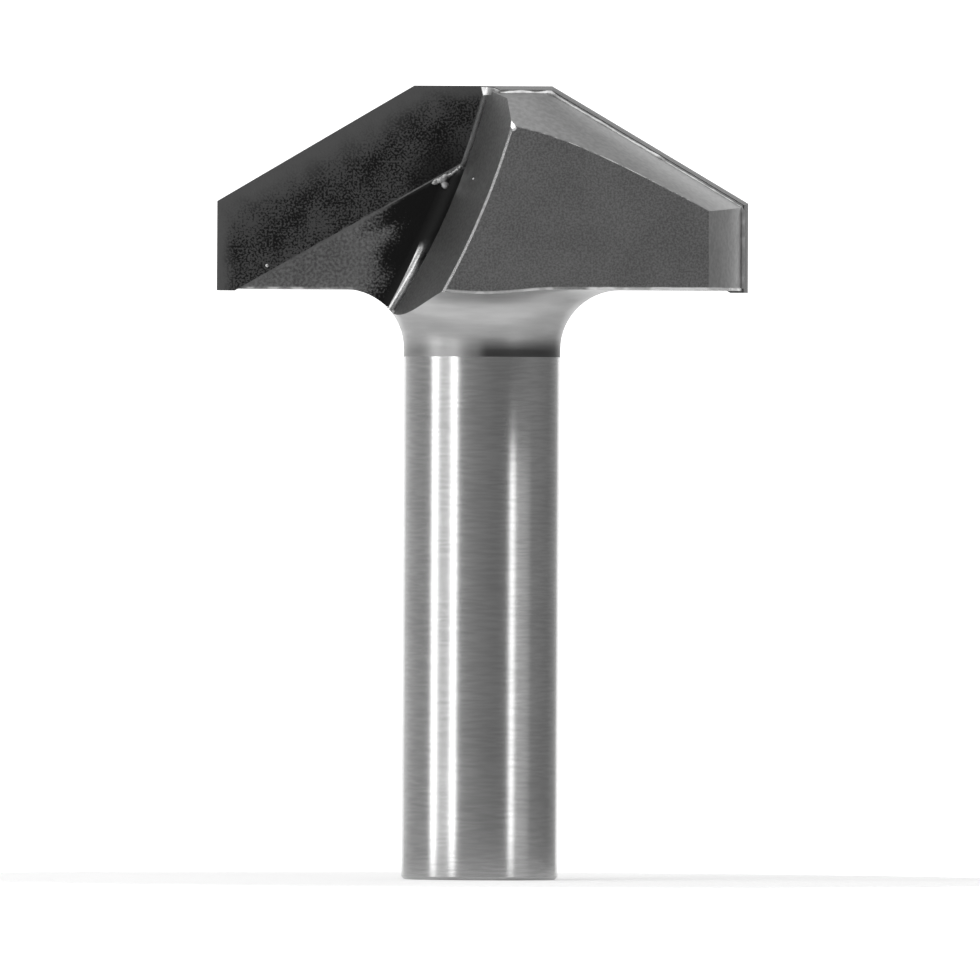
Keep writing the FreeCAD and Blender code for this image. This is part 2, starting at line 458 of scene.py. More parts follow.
# %% [markdown]
# ## The body itself
# The copy is split at the height where the shank's grinding ends, so that the border is sharp. A stone has
# taken off the sharp upper inner corner of each back, which leaves a tiny facet that catches the light.

# %% Body, split and with its two corners broken
CORNER_BREAK = 0.085
CORNER_REACH = 0.6
CORNER_FACING = (-0.4, -0.75, 0.53)

bm, source = from_node("cutter_body")
everything = bm.verts[:] + bm.edges[:] + bm.faces[:]
ground_end = (0, 0, GROUND_END * MM)
bmesh.ops.bisect_plane(bm, geom=everything, dist=CUT_DISTANCE, plane_co=ground_end, plane_no=(0, 0, 1))
for turn in (1, -1):
    on_flat = [v for v in bm.verts if abs(v.co.y + turn * BACK_FLAT * MM) < MERGE_DISTANCE]
    corner = max(on_flat, key=lambda v: v.co.z).co.copy()
    faces = [f for f in bm.faces if min((v.co - corner).length for v in f.verts) < CORNER_REACH * MM]
    around = list(dict.fromkeys(part for f in faces for part in f.verts[:] + f.edges[:] + [f]))
    x, y, z = CORNER_FACING
    outwards = Vector((turn * x, turn * y, z)).normalized()
    facet = corner - outwards * CORNER_BREAK * MM
    bmesh.ops.bisect_plane(
        bm, geom=around, dist=CUT_DISTANCE, plane_co=facet, plane_no=outwards, clear_outer=True
    )
    close_rim(bm, source, outwards)
body = shown_piece("steel_body", bm, "cutter_steel", "cutter_body")
cuts = [cut_of(f.center / MM, f.normal) for f in body.data.polygons]
print("faces per cut:", {cut: cuts.count(cut) for cut in sorted(set(cuts))})

# %% [markdown]
# ## Patterns and places
# A finish needs two things from its place: noise whose lumps have a real size, and distances from the cuts and
# joints, because stains follow those. All of them work on object coordinates in millimetres. The gullets and
# the joints lie the same way on both wings, half a turn apart, so most distances use the size of x alone.


# %% Coordinates and noise in millimetres
def object_mm(tree):
    """Object coordinates in millimetres, and their three parts."""
    place = node(tree, VECTOR_SCALE, node(tree, "ShaderNodeTexCoord").outputs["Object"], 1 / MM)
    return place, node(tree, "ShaderNodeSeparateXYZ", place).outputs


def lumps(size):
    """The noise scale that gives lumps of about a size in millimetres."""
    return 0.5 / size


def wander(tree, place, size, amount, detail=2.0):
    """A number that wanders evenly about 0, by amount in all, over lumps of a size in millimetres."""
    return node(tree, MULTIPLY_ADD, node(tree, NOISE, place, lumps(size), detail), amount, -amount / 2)


print("noise scale for lumps of 1 mm:", lumps(1.0))


# %% Distances on the head
# A spot is full over this share of its radius.
SPOT_CORE = 0.4


def squared(tree, across, up):
    """The square of the distance that two offsets at a right angle make."""
    return node(tree, ADD, node(tree, MULTIPLY, across, across), node(tree, MULTIPLY, up, up))


def from_gullet_axis(tree, parts):
    """Distance in millimetres from the axis of the disc cutter that milled the gullet on this side."""
    across = node(tree, SUBTRACT, GULLET_OUT, node(tree, ABSOLUTE, parts["X"]))
    return node(tree, SQRT, squared(tree, across, node(tree, SUBTRACT, parts["Z"], GULLET_HEIGHT)))


def above_joint(tree, parts):
    """Distance above the sloping joint under a tip, and out from its foot, below 0 inwards, in millimetres."""
    out = node(tree, SUBTRACT, node(tree, ABSOLUTE, parts["X"]), SEAT_FOOT)
    up = node(tree, SUBTRACT, parts["Z"], HEAD_FOOT)
    above = node(tree, MULTIPLY_ADD, out, math.sin(SEAT_ANGLE), node(tree, MULTIPLY, up, math.cos(SEAT_ANGLE)))
    return above, out


def spot(tree, parts, x, z, radius):
    """A soft round spot at the x and z that the front view shows, and at the same place half a turn round."""
    half_turn = node(tree, MULTIPLY, node(tree, SIGN, parts["Y"]), -1.0)
    across = node(tree, SUBTRACT, node(tree, MULTIPLY, parts["X"], half_turn), x)
    away = squared(tree, across, node(tree, SUBTRACT, parts["Z"], z))
    return node(tree, SMOOTH, away, (SPOT_CORE * radius) ** 2, radius**2, 1.0, 0.0)


print("the joint's foot is", SEAT_FOOT, "mm from the axis")

# %% [markdown]
# ## Painted shade, and stains that the brazing left
# Black painted shade with a ragged edge lies where the gullet's wall darkens the face. The flux that was painted on
# the joint dries to a grey crust in a soft band along it. Both lie over steel and carbide alike, so they are made
# once.

# %% Painted shade beside the gullet's wall
# In millimetres. The patches and flakes have a size, how far they move the border, and the flakes a noise
# detail. A range of four numbers goes from the third to the fourth between the first two.
WALL_SHADE_PATCHES = (1.1, 2.4)
WALL_SHADE_FLAKES = (0.09, 3.4, 1.0)
WALL_SHADE_BORDER = (56.6, 58.3)
WALL_SHADE_SHIFT = (47.9, 51.2, 0.6, -0.5)
WALL_SHADE_FADE = (57.0, 62.5, 1.0, 0.2)
TONGUE_FOOT = (-2.0, -0.7)
TONGUE_TOP = (-0.1, 0.2, 1.4, 0.0)


def painted_wall_shade(tree, place, parts):
    """Painted shade, black: a ragged patch along the gullet's wall, with a tongue under the joint.

    Its ragged edge breaks into flakes drawn 0.09 mm wide, about a pixel, or they wouldn't show.
    """
    ragged = node(tree, ADD, wander(tree, place, *WALL_SHADE_PATCHES), wander(tree, place, *WALL_SHADE_FLAKES))
    reach = node(tree, ADD, from_gullet_axis(tree, parts), ragged)
    reach = node(tree, SUBTRACT, reach, node(tree, SMOOTH, parts["Z"], *WALL_SHADE_SHIFT))
    above = above_joint(tree, parts)[0]
    tongue = node(tree, SMOOTH, above, *TONGUE_FOOT)
    tongue = node(tree, MULTIPLY, tongue, node(tree, SMOOTH, above, *TONGUE_TOP))
    shade_share = node(tree, SMOOTH, node(tree, ADD, reach, tongue), *WALL_SHADE_BORDER)
    return node(tree, MULTIPLY, shade_share, node(tree, SMOOTH, parts["Z"], *WALL_SHADE_FADE))


print("scale begins", WALL_SHADE_BORDER[0], "mm from the gullet's axis")

# %% Dried flux
JOINT_WANDER = (0.5, 0.5)
JOINT_BAND = (0.04, 0.24, 1.0, 0.0)
JOINT_OUTER_END = (-14.0, -9.5, 0.1, 0.8)
JOINT_INNER_END = (-7.0, -4.0, 1.0, 0.3)
FLUX_GREY = linear("#7C7C7C")


def braze_stain(tree, place, parts):
    """Flux that dried along the joint under a tip, in a soft band that fades towards the wing's end."""
    above, out = above_joint(tree, parts)
    off = node(tree, ABSOLUTE, node(tree, ADD, above, wander(tree, place, *JOINT_WANDER)))
    ends = node(tree, SMOOTH, out, *JOINT_OUTER_END)
    ends = node(tree, MULTIPLY, ends, node(tree, SMOOTH, out, *JOINT_INNER_END))
    return node(tree, MULTIPLY, node(tree, SMOOTH, off, *JOINT_BAND), ends)


print("flux reaches", JOINT_BAND[1], "mm from the joint")

# %% [markdown]
# ## Steel finishes
# The whole body is one piece of tool steel. What differs is how rough its faces are and which way their lines
# run. A metal keeps the default index of refraction: its colour and roughness do the work. Blasting, milling
# and grinding each leave a grain, whose size is the grit's or the feed's in millimetres.

# %% Metal
# Ground and turned lines run round the axis, so their grain is drawn out sideways by this much.
LINES_ROUND = (0.12, 0.12, 1.0)
CLOUD_SIZE = 2.2
GRAIN_CONTRAST = (0.32, 0.68)
CLOUD_CONTRAST = (0.3, 0.7)
GRAIN_DETAIL = 3.0
GRAIN_RELIEF = 0.02
# Near white that worn edges are lifted to: polished steel, and a painted highlight beyond what steel reflects.
POLISHED_AND_HIGHLIGHT = linear("#F0F0F0")
POLISHED_ROUGHNESS = 0.3


def metal(
    name, colour, roughness, anisotropic=0.0, mottle=0.08, grit=0.2, speck=0.35, bump=0.25, shade=None, wear_and_highlight=None
):
    """Metal with a mottled colour and a gritty surface.

    mottle and speck are how far the colour wanders over millimetres and over grains, as shares. grit is the size of
    the grains in millimetres. The anisotropic finishes have lines that run round the axis, and their highlights
    stretch along them. shade changes the colour and roughness by place. The last argument gives how far an edge is
    rounded and polished by wear at each place: a lower edge that is rounded looks down at the bright table, and its
    colour is lifted to near white, a painted highlight.
    """
    material, tree = new_material(name)
    place, parts = object_mm(tree)
    lines = node(tree, VECTOR_MULTIPLY, place, LINES_ROUND if anisotropic else (1.0, 1.0, 1.0))
    fine = node(tree, SMOOTH, node(tree, NOISE, lines, lumps(grit), GRAIN_DETAIL), *GRAIN_CONTRAST)
    cloudy = node(tree, SMOOTH, node(tree, NOISE, place, lumps(CLOUD_SIZE)), *CLOUD_CONTRAST)
    lightness = node(tree, MULTIPLY_ADD, fine, speck, 1 - speck / 2)
    lightness = node(tree, MULTIPLY_ADD, cloudy, mottle, node(tree, SUBTRACT, lightness, mottle / 2))
    tint = node(tree, VECTOR_SCALE, linear(colour)[:3], lightness)
    if shade:
        tint, roughness = shade(tree, place, parts, tint, roughness)
    relief = node(tree, "ShaderNodeBump", {"Strength": bump, "Distance": GRAIN_RELIEF * MM, "Height": fine})
    if wear_and_highlight:
        share = wear_and_highlight(tree, place, parts)
        # Lifting the edge's colour to near white paints its highlight; the tilted normal stands for its rounding.
        tint = node(tree, MIX, share, tint, POLISHED_AND_HIGHLIGHT)
        roughness = node(tree, SMOOTH, share, 0.0, 1.0, roughness, POLISHED_ROUGHNESS)
        down = node(tree, "ShaderNodeCombineXYZ", 0.0, 0.0, node(tree, MULTIPLY, share, -1.0))
        relief = node(tree, VECTOR_NORMALIZE, node(tree, VECTOR_ADD, relief, down))
    look = {
        "Base Color": tint, "Metallic": 1.0, "Roughness": roughness, "Anisotropic": anisotropic, "Normal": relief
    }
    if anisotropic:
        axis = node(tree, "ShaderNodeCombineXYZ", 0.0, 0.0, 1.0)
        look["Tangent"] = node(tree, VECTOR_NORMALIZE, node(tree, VECTOR_CROSS, axis, place))
    node(tree, "ShaderNodeOutputMaterial", node(tree, "ShaderNodeBsdfPrincipled", look))
    return material


print("grains are", GRAIN_RELIEF, "mm high at most")

# %% [markdown]
# ## How the shank and the neck change along the axis
# The neck has painted shade darker at its foot on the right and in a faint ring under the head, standing for the
# dark reflection below the head, and painted light on its left side. The shank's free end is painted a little
# darker, to hold back the pale table's reflection.

# %% Neck and shank
# Painted shade at the neck's foot on the right and in a ring under the head, and painted light on its left side.
NECK_FOOT_PAINTED_SHADE = (42.7, 44.4, 0.78, 0.0)
NECK_SHADE_SIDE = (-0.6, 0.5, 0.5, 1.0)
RING_HEIGHT = 47.0
RING_SHADE = (0.0, 0.6, 0.85, 1.0)
NECK_PAINTED_LIGHT_SIDE = (-6.5, -3.0, 1.25, 1.0)
# The shank's free end is painted darker, against the pale table's reflection.
SHANK_FOOT_SHADE = (0.2, 5.0, 0.84, 1.0)


def painted_neck_light_and_shade(tree, place, parts, tint, roughness):
    """The neck: painted shade at its foot on the right and in a faint ring under the head, and painted light on the
    left.
    """
    foot = node(tree, SMOOTH, parts["Z"], *NECK_FOOT_PAINTED_SHADE)
    foot = node(tree, MULTIPLY, foot, node(tree, SMOOTH, parts["X"], *NECK_SHADE_SIDE))
    foot_unshaded = node(tree, MULTIPLY_ADD, foot, -1.0, 1.0)
    from_ring = node(tree, ABSOLUTE, node(tree, SUBTRACT, parts["Z"], RING_HEIGHT))
    darker = node(tree, MULTIPLY, foot_unshaded, node(tree, SMOOTH, from_ring, *RING_SHADE))
    darker = node(tree, MULTIPLY, darker, node(tree, SMOOTH, parts["X"], *NECK_PAINTED_LIGHT_SIDE))
    return node(tree, VECTOR_SCALE, tint, darker), roughness


def painted_foot_shade(tree, place, parts, tint, roughness):
    """The shank's free end, painted a little darker to hold back the pale table's reflection."""
    return node(tree, VECTOR_SCALE, tint, node(tree, SMOOTH, parts["Z"], *SHANK_FOOT_SHADE)), roughness


print("oxide from", NECK_FOOT_PAINTED_SHADE[0], "to", NECK_FOOT_PAINTED_SHADE[1], "mm up")

# %% [markdown]
# ## How the head's faces change from place to place
# Black painted shade lies over the milled face and in the gullet's root, which keeps one bright streak low down, and
# beside the streak the root is painted darker and lighter. The streak leans a little, because the disc cutter's
# rounded corner does. Flux ran down the gullet's wall from the braze. The lower edges are rounded and polished by
# wear, in some places more than in others, and their colour is lifted to near white, a painted highlight.

# %% Painted shade on the milled face
PAINTED_SHADE_BLACK = linear("#242424")
PAINTED_SHADE_ROUGHNESS = 0.6


def covered_by_painted_shade(tree, shade_share, tint, roughness):
    """Steel with black painted shade over a share of it. The painted black is rougher than the steel."""
    rougher = node(tree, SMOOTH, shade_share, 0.0, 1.0, roughness, PAINTED_SHADE_ROUGHNESS)
    return node(tree, MIX, shade_share, tint, PAINTED_SHADE_BLACK), rougher


def painted_shade_and_flux(tree, place, parts, tint, roughness):
    """The milled face beside a tip: black painted shade near the wall, and dried flux along the joint."""
    tint, roughness = covered_by_painted_shade(tree, painted_wall_shade(tree, place, parts), tint, roughness)
    return node(tree, MIX, braze_stain(tree, place, parts), tint, FLUX_GREY), roughness


print("scale is", PAINTED_SHADE_ROUGHNESS, "rough")

# %% Streak in the gullet's root
STREAK_LEAN = 0.069
STREAK_MIDDLE = 51.75
STREAK_WANDER = (0.5, 1.6)
STREAK_TOP = (50.5, 51.9)
STREAK_LEFT = (59.5, 59.6, 1.0, 0.0)
STREAK_RIGHT = (59.8, 60.0)
# Right of the streak the root's colour is scaled: painted light low down and at the top, painted shade between.
RIGHT_PAINTED_SHADE_AND_LIGHT_ABOVE = (57.5, 58.5, 0.2, 1.2)
RIGHT_PAINTED_LIGHT_BELOW = (48.8, 50.4, 2.0, 0.0)
LEFT_SHADE_END = (56.6, 57.2, 1.0, 0.0)
ROOT_SHADE_END = (57.0, 57.9, 1.0, 0.0)


def root_painted_light_and_shade(tree, place, parts, tint, roughness):
    """The gullet's root: one bright streak low down, and black painted shade over the rest, as far up as the puddle.
    Right of the streak its colour is painted darker in the middle and lighter low down and at the top.
    """
    high = node(tree, SMOOTH, node(tree, ADD, parts["Z"], wander(tree, place, *STREAK_WANDER)), *STREAK_TOP)
    high = node(tree, MULTIPLY, high, node(tree, SMOOTH, parts["Z"], *ROOT_SHADE_END))
    rim = node(tree, ADD, from_gullet_axis(tree, parts), -STREAK_LEAN * STREAK_MIDDLE)
    leaning = node(tree, MULTIPLY_ADD, parts["Z"], STREAK_LEAN, rim)
    left = node(tree, SMOOTH, leaning, *STREAK_LEFT)
    left = node(tree, MULTIPLY, left, node(tree, SMOOTH, parts["Z"], *LEFT_SHADE_END))
    painted_light_and_shade = node(tree, SMOOTH, parts["Z"], *RIGHT_PAINTED_SHADE_AND_LIGHT_ABOVE)
    painted_light_and_shade = node(tree, ADD, painted_light_and_shade, node(tree, SMOOTH, parts["Z"], *RIGHT_PAINTED_LIGHT_BELOW))
    tint = node(tree, VECTOR_SCALE, tint, node(tree, SMOOTH, leaning, *STREAK_RIGHT, 1.0, painted_light_and_shade))
    return covered_by_painted_shade(tree, node(tree, MAXIMUM, high, left), tint, roughness)


print("the root's streak ends", STREAK_TOP[0], "to", STREAK_TOP[1], "mm up")

# %% Flux on the gullet's wall
FLUX_SIZE = 0.9
FLUX_PATCHES = (0.35, 0.65, 0.05, 0.3)
FLUX_DEPTH = (2.5, 4.5, 1.0, 0.0)
FLUX_RUN = (-1.2, 56.7, 1.8)


def wall_flux(tree, place, parts, tint, roughness):
    """The gullet's wall, with a pale stain where flux ran from the braze."""
    patches = node(tree, SMOOTH, node(tree, NOISE, place, lumps(FLUX_SIZE)), *FLUX_PATCHES)
    near_tip = node(tree, SMOOTH, node(tree, ABSOLUTE, parts["Y"]), *FLUX_DEPTH)
    stain = node(tree, MULTIPLY, spot(tree, parts, *FLUX_RUN), node(tree, MULTIPLY, patches, near_tip))
    return node(tree, MIX, stain, tint, linear("#C0C0C0")), roughness


print("flux ran to", FLUX_DEPTH[1], "mm behind the face")

# %% Nicks beside a tip
NICK_SIZE, NICK_DETAIL = 0.8, 0.0
NICK_CONTRAST = (0.48, 0.6, 0.15, 0.55)
NICK_HEIGHT = (HEAD_FOOT + 0.06, HEAD_FOOT + 0.24, 1.0, 0.0)
CLEAR_OF_NECK = (10.2, 11.0)


def nicked_foot_and_highlights(tree, place, parts):
    """The lower edge beside a tip is rounded more in some places than in others, and lifted there to a painted
    highlight.
    """
    nicks = node(tree, SMOOTH, node(tree, NOISE, place, lumps(NICK_SIZE), NICK_DETAIL), *NICK_CONTRAST)
    low = node(tree, SMOOTH, parts["Z"], *NICK_HEIGHT)
    outer = node(tree, SMOOTH, node(tree, ABSOLUTE, parts["X"]), *CLEAR_OF_NECK)
    return node(tree, MULTIPLY, nicks, node(tree, MULTIPLY, low, outer))


print("nicks begin", CLEAR_OF_NECK[0], "mm from the axis")

# %% Worn edges of the backs, with painted highlights
WEAR_HEIGHT = (0.14, 0.28, 1.0, 0.0)
WEAR_SIZE = 1.0
WEAR_CONTRAST = (0.42, 0.6)
MOST_WEAR = 0.95
# These three follow the square of the distance to the side of the axis.
LEAST_WEAR = (80.0, 110.0, 0.0, 0.45)
OUTER_WEAR = (60.0, 100.0, 0.6, 1.0)
INNER_WEAR = (14.0, 50.0, 0.42, 0.2)
# A painted glint on the back's upper inner corner, as x, z and radius in millimetres.
PAINTED_CORNER_GLINT = (2.45, 60.9, 0.3)


def worn_edges_and_highlights(tree, place, parts):
    """The back's lower edge, worn and lifted to a painted highlight, which dips where it crosses the neck's arc, and
    a painted glint on its upper inner corner.
    """
    across = node(tree, MULTIPLY, parts["X"], parts["X"])
    spread = node(tree, SQRT, node(tree, ADD, across, BACK_FLAT**2))
    inside = node(tree, SUBTRACT, SHANK_RADIUS + NECK_FILLET, spread)
    drop = node(tree, SUBTRACT, NECK_FILLET**2, node(tree, MULTIPLY, inside, inside))
    neck_edge = node(tree, ADD, node(tree, SQRT, drop), HEAD_FOOT - NECK_FILLET)
    on_neck = node(tree, GREATER_THAN, inside, 0.0)
    edge = node(tree, MULTIPLY_ADD, on_neck, node(tree, SUBTRACT, neck_edge, HEAD_FOOT), HEAD_FOOT)
    least = node(tree, SMOOTH, across, *LEAST_WEAR)
    patches = node(tree, NOISE, place, lumps(WEAR_SIZE))
    uneven = node(tree, SMOOTH, patches, *WEAR_CONTRAST, least, MOST_WEAR)
    uneven = node(tree, MULTIPLY, uneven, node(tree, SMOOTH, across, *OUTER_WEAR))
    strength = node(tree, MAXIMUM, uneven, node(tree, SMOOTH, across, *INNER_WEAR))
    wear_and_highlight = node(tree, SMOOTH, node(tree, SUBTRACT, parts["Z"], edge), *WEAR_HEIGHT)
    wear_and_highlight = node(tree, MULTIPLY, wear_and_highlight, strength)
    return node(tree, MAXIMUM, wear_and_highlight, spot(tree, parts, *PAINTED_CORNER_GLINT))


print("wear reaches", WEAR_HEIGHT[1], "mm above the edge")

# %% [markdown]
# ## One finish per cut
# Here each cut gets its finish. Tool steel is a light neutral grey when it is polished. The rougher a machine
# leaves it, the darker it looks against a bright backdrop, since it no longer mirrors the backdrop's white.

# %% Finishes of the body
finishes = {
    # Centreless ground: nearly a mirror, with fine lines round it that draw each lamp out sideways. Real lines
    # lie about 0.01 mm apart and can't show, so these are drawn 0.1 mm wide and faint.
    "ground_shank": metal(
        "centreless_ground_shank", "#C0C0C0", 0.19,
        anisotropic=0.3, grit=0.1, speck=0.12, bump=0.02, shade=painted_foot_shade,
    ),
    # Turned in one pass: smoother to the touch than it looks, so its bands run soft into one another.
    "turned_neck": metal(
        "turned_neck", "#BEBEBE", 0.37,
        anisotropic=0.3, mottle=0.04, speck=0.1, bump=0.1, shade=painted_neck_light_and_shade,
    ),
    # Blasted with grit of about 0.08 mm: an even dark grey, the same from every side.
    "back_flat": metal("blasted_back", "#7C7C7C", 0.5, mottle=0.12, grit=0.08, speck=0.45, wear_and_highlight=worn_edges_and_highlights),
    # Milled: a duller and patchier grey, with black painted shade near the gullet's wall and painted highlights on
    # its lower edge.
    "cutting_plane": metal(
        "milled_face", "#7A7A7A", 0.5, mottle=0.25, grit=0.12, speck=0.6, shade=painted_shade_and_flux, wear_and_highlight=nicked_foot_and_highlights
    ),
    # Faced in a lathe. It looks down at the pale table, which lights it evenly.
    "underside": metal("faced_underside", "#A0A0A0", 0.4),
    # Milled by the disc cutter's side, in short fine marks that break up the light.
    "gullet_wall": metal("milled_wall", "#8C8C8C", 0.45, grit=0.12, speck=0.35, shade=wall_flux),
    # The cutter's rounded corner leaves a smooth root, which chips have polished.
    "gullet_root": metal("milled_root", "#A8A8A8", 0.2, mottle=0.05, speck=0.1, bump=0.1, shade=root_painted_light_and_shade),
    # The flat above the web is painted darker than the slopes: painted shade over the bright wall that it mirrors.
    "top_flat_painted_darker": metal("top_flat_painted_darker", "#626262", 0.45, mottle=0.1, speck=0.2),
    # Ground with the tips after brazing: brighter and cleaner than the blasted back.
    "ground_form": metal("ground_form", "#8A8A8A", 0.36, mottle=0.1, speck=0.2, bump=0.08),
    "ground_side": metal("ground_side", "#B4B4B4", 0.33, mottle=0.1, speck=0.2, bump=0.08, wear_and_highlight=worn_edges_and_highlights),
    # Sawn with a thin wheel and left as it was cut.
    "sawn_notch": metal("sawn_notch", "#B0B0B0", 0.4),
    # An edge that a stone has just broken is the brightest steel on the bit.
    "broken_edge": metal("broken_edge", "#D8D8D8", 0.25, mottle=0.1, speck=0.2, bump=0.1),
}
order = list(finishes)
for material in finishes.values():
    body.data.materials.append(material)
for face, cut in zip(body.data.polygons, cuts):
    face.material_index = order.index(cut)
print("finishes:", order)

# %% [markdown]
# ## Carbide tips
# Each tip is tungsten carbide, pressed from powder with cobalt, sintered and then ground. It is much darker
# than steel. Its wide face is speckled with flux that the brazing left, which the grinding took off again in
# a band beside the cutting edges. The narrow ground flanks behind the edges are clean and lighter.

# %% Sintered carbide
# Carbide's own grain is about 0.001 mm. The speckle is the crust on it, drawn 0.085 mm wide, about a pixel.
SPECKLE_SIZE, SPECKLE_DETAIL = 0.085, 1.0
SPECKLE_CLOUDS = (1.3, 0.5)
SPECKLE_CONTRAST = (0.38, 0.6)
SPECKLE_RELIEF = 0.01
FLANK_START = (0.01, 0.03)
# The band that grinding cleaned is this much narrower beside the top and side edges than beside the slope.
NARROWER = 2.2
CLEANED_WANDER = (0.9, 2.4)
UNCLEANED = (0.5, 3.7)
WALL_SHADE_SHARE = 0.8

carbide, tree = new_material("sintered_carbide")
place, parts = object_mm(tree)
beside = node(tree, ABSOLUTE, parts["X"])
from_slope = node(tree, SUBTRACT, HEAD_TOP + FLAT_REACH * FORM_FALL, parts["Z"])
from_slope = node(tree, MULTIPLY_ADD, beside, -FORM_FALL, from_slope)
from_side = node(tree, MULTIPLY, node(tree, SUBTRACT, CUTTING_RADIUS, beside), NARROWER)
from_top = node(tree, MULTIPLY, node(tree, SUBTRACT, HEAD_TOP, parts["Z"]), NARROWER)
from_edge = node(tree, MINIMUM, node(tree, MINIMUM, from_slope, from_side), from_top)
from_edge = node(tree, ADD, from_edge, wander(tree, place, *CLEANED_WANDER))
uncleaned = node(tree, SMOOTH, from_edge, *UNCLEANED)
speckle = node(tree, NOISE, place, lumps(SPECKLE_SIZE), SPECKLE_DETAIL)
speckle = node(tree, ADD, speckle, wander(tree, place, *SPECKLE_CLOUDS))
speckle = node(tree, SMOOTH, speckle, *SPECKLE_CONTRAST)
crusted = node(tree, MIX, speckle, linear("#242424"), linear("#5C5C5C"))
face_colour = node(tree, MIX, uncleaned, linear("#6C6C6C"), crusted)
# Black painted shade beside the gullet's wall lies over the wide face too.
wall_shaded = node(tree, MULTIPLY, painted_wall_shade(tree, place, parts), WALL_SHADE_SHARE)
face_colour = node(tree, MIX, wall_shaded, face_colour, linear("#222222"))
face_colour = node(tree, MIX, braze_stain(tree, place, parts), face_colour, FLUX_GREY)
on_flank = node(tree, SMOOTH, node(tree, ABSOLUTE, parts["Y"]), *FLANK_START)
colour = node(tree, MIX, on_flank, face_colour, linear("#6A6A6A"))
pits = node(tree, "ShaderNodeBump", {"Strength": 0.3, "Distance": SPECKLE_RELIEF * MM, "Height": speckle})
shader = node(tree, "ShaderNodeBsdfPrincipled", {
    "Base Color": colour, "Metallic": 1.0, "Roughness": 0.5, "Normal": pits,
})
node(tree, "ShaderNodeOutputMaterial", shader)
for name in ("long_carbide_tip", "short_carbide_tip"):
    for material_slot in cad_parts[name].material_slots:
        material_slot.material = carbide
print("carbide on both tips")

# %% [markdown]
# ## Silver braze
# Braze is a silver alloy that ran round the tips as a liquid, so it is smooth and bright where nothing touched
# it, and dull where flux dried on it. The film keeps the CAD's shape. The CAD's bead stands out of the wide
# face as a plain rod, so it is cut off level with the face, and an uneven lump takes its place.

# %% Braze film, cut level with the faces
braze_bright = metal("silver_braze_bright", "#D4D4D4", 0.35, mottle=0.2, grit=0.3, speck=0.3)
braze_dull = metal("silver_braze_dull", "#7A7A7A", 0.5, mottle=0.3, grit=0.3, speck=0.3)
braze_pooled = metal("silver_braze_pooled", "#A4A4A4", 0.42, mottle=0.3, grit=0.3, speck=0.4)
DULL_DEPTH = 0.01

for side, facing in (("long", -1), ("short", 1)):
    bm, source = from_node(f"{side}_tip_braze")
    everything = bm.verts[:] + bm.edges[:] + bm.faces[:]
    outwards = (0, facing, 0)
    bmesh.ops.bisect_plane(
        bm, geom=everything, dist=CUT_DISTANCE, plane_co=(0, 0, 0), plane_no=outwards, clear_outer=True
    )
    # Faces that already lay in the plane would come back double when the rim is closed.
    in_face = [f for f in bm.faces if all(abs(v.co.y) < MERGE_DISTANCE for v in f.verts)]
    bmesh.ops.delete(bm, geom=in_face, context="FACES")
    close_rim(bm, source, outwards)
    film = shown_piece(f"{side}_braze_film", bm, "silver_braze", f"{side}_tip_braze")
    film.data.materials.append(braze_dull)
    film.data.materials.append(braze_bright)
    for face in film.data.polygons:
        face.material_index = 0 if face.center.y * facing > -DULL_DEPTH * MM else 1

# %% [markdown]
# ## Lumps where the braze pooled
# The braze pooled at the joint's inner end and froze there as a few drops that ran together. Balls are set
# along the joint, joined into one skin by a voxel remesh, and smoothed as surface tension would do it. A little
# noise takes off the last evenness. Small voxels keep the necks between the drops.

# %% Places of the lumps
# Each lump is x, z, its half-width, half-height and how far it stands out, on the long tip's side, in mm.
LUMPS = (
    (-3.2, 56.86, 0.6, 0.38, 0.36),
    (-3.75, 56.62, 0.46, 0.24, 0.16),
    (-3.05, 56.35, 0.34, 0.42, 0.2),
    (-2.62, 57.16, 0.5, 0.2, 0.16),
    (-2.2, 57.5, 0.44, 0.16, 0.14),
    (-1.85, 57.78, 0.24, 0.18, 0.2),
)
ROOT_STEEPEST = 1.2


def root_depth(x, z):
    """How far the gullet's root fillet stands out from the cutting face at a place, in millimetres."""
    rim = math.hypot(abs(x) - GULLET_OUT, z - GULLET_HEIGHT) - root_start
    return ROOT_RADIUS - math.sqrt(ROOT_RADIUS**2 - min(max(rim, 0), ROOT_STEEPEST) ** 2)


print(len(LUMPS), "lumps on each side")

# %% Balls that run together
LUMP_LEAN = 30
VOXEL = 0.05
SMOOTH_SHARE, SMOOTH_STEPS = 0.5, 4
RIPPLE_SIZE, RIPPLE_HEIGHT = 0.35, 0.07

for side, turn in (("long", 1), ("short", -1)):
    bm = bmesh.new()
    for x, z, wide, high, out in LUMPS:
        middle = Matrix.Translation(Vector((turn * x, -turn * root_depth(x, z), z)) * MM)
        lean = Matrix.Rotation(turn * math.radians(-LUMP_LEAN), 4, "Y")
        size = Matrix.Diagonal((wide * MM, out * MM, high * MM, 1))
        bmesh.ops.create_icosphere(bm, subdivisions=3, radius=1, matrix=middle @ lean @ size)
    pooled = shown_piece(f"{side}_braze_pool", bm, "silver_braze")
    remesh = pooled.modifiers.new("run_together", "REMESH")
    remesh.mode = "VOXEL"
    remesh.voxel_size = VOXEL * MM
    smooth = pooled.modifiers.new("surface_tension", "SMOOTH")
    smooth.factor = SMOOTH_SHARE
    smooth.iterations = SMOOTH_STEPS
    depsgraph = bpy.context.evaluated_depsgraph_get()
    mesh = bpy.data.meshes.new_from_object(pooled.evaluated_get(depsgraph))
    pooled.modifiers.clear()
    pooled.data = mesh
    for vertex in mesh.vertices:
        vertex.co += vertex.normal * noise.noise(vertex.co / (RIPPLE_SIZE * MM)) * RIPPLE_HEIGHT * MM
    mesh.materials.clear()
    mesh.materials.append(braze_pooled)
    mesh.shade_smooth()
    print(pooled.name, "remeshed to", len(mesh.polygons), "faces")

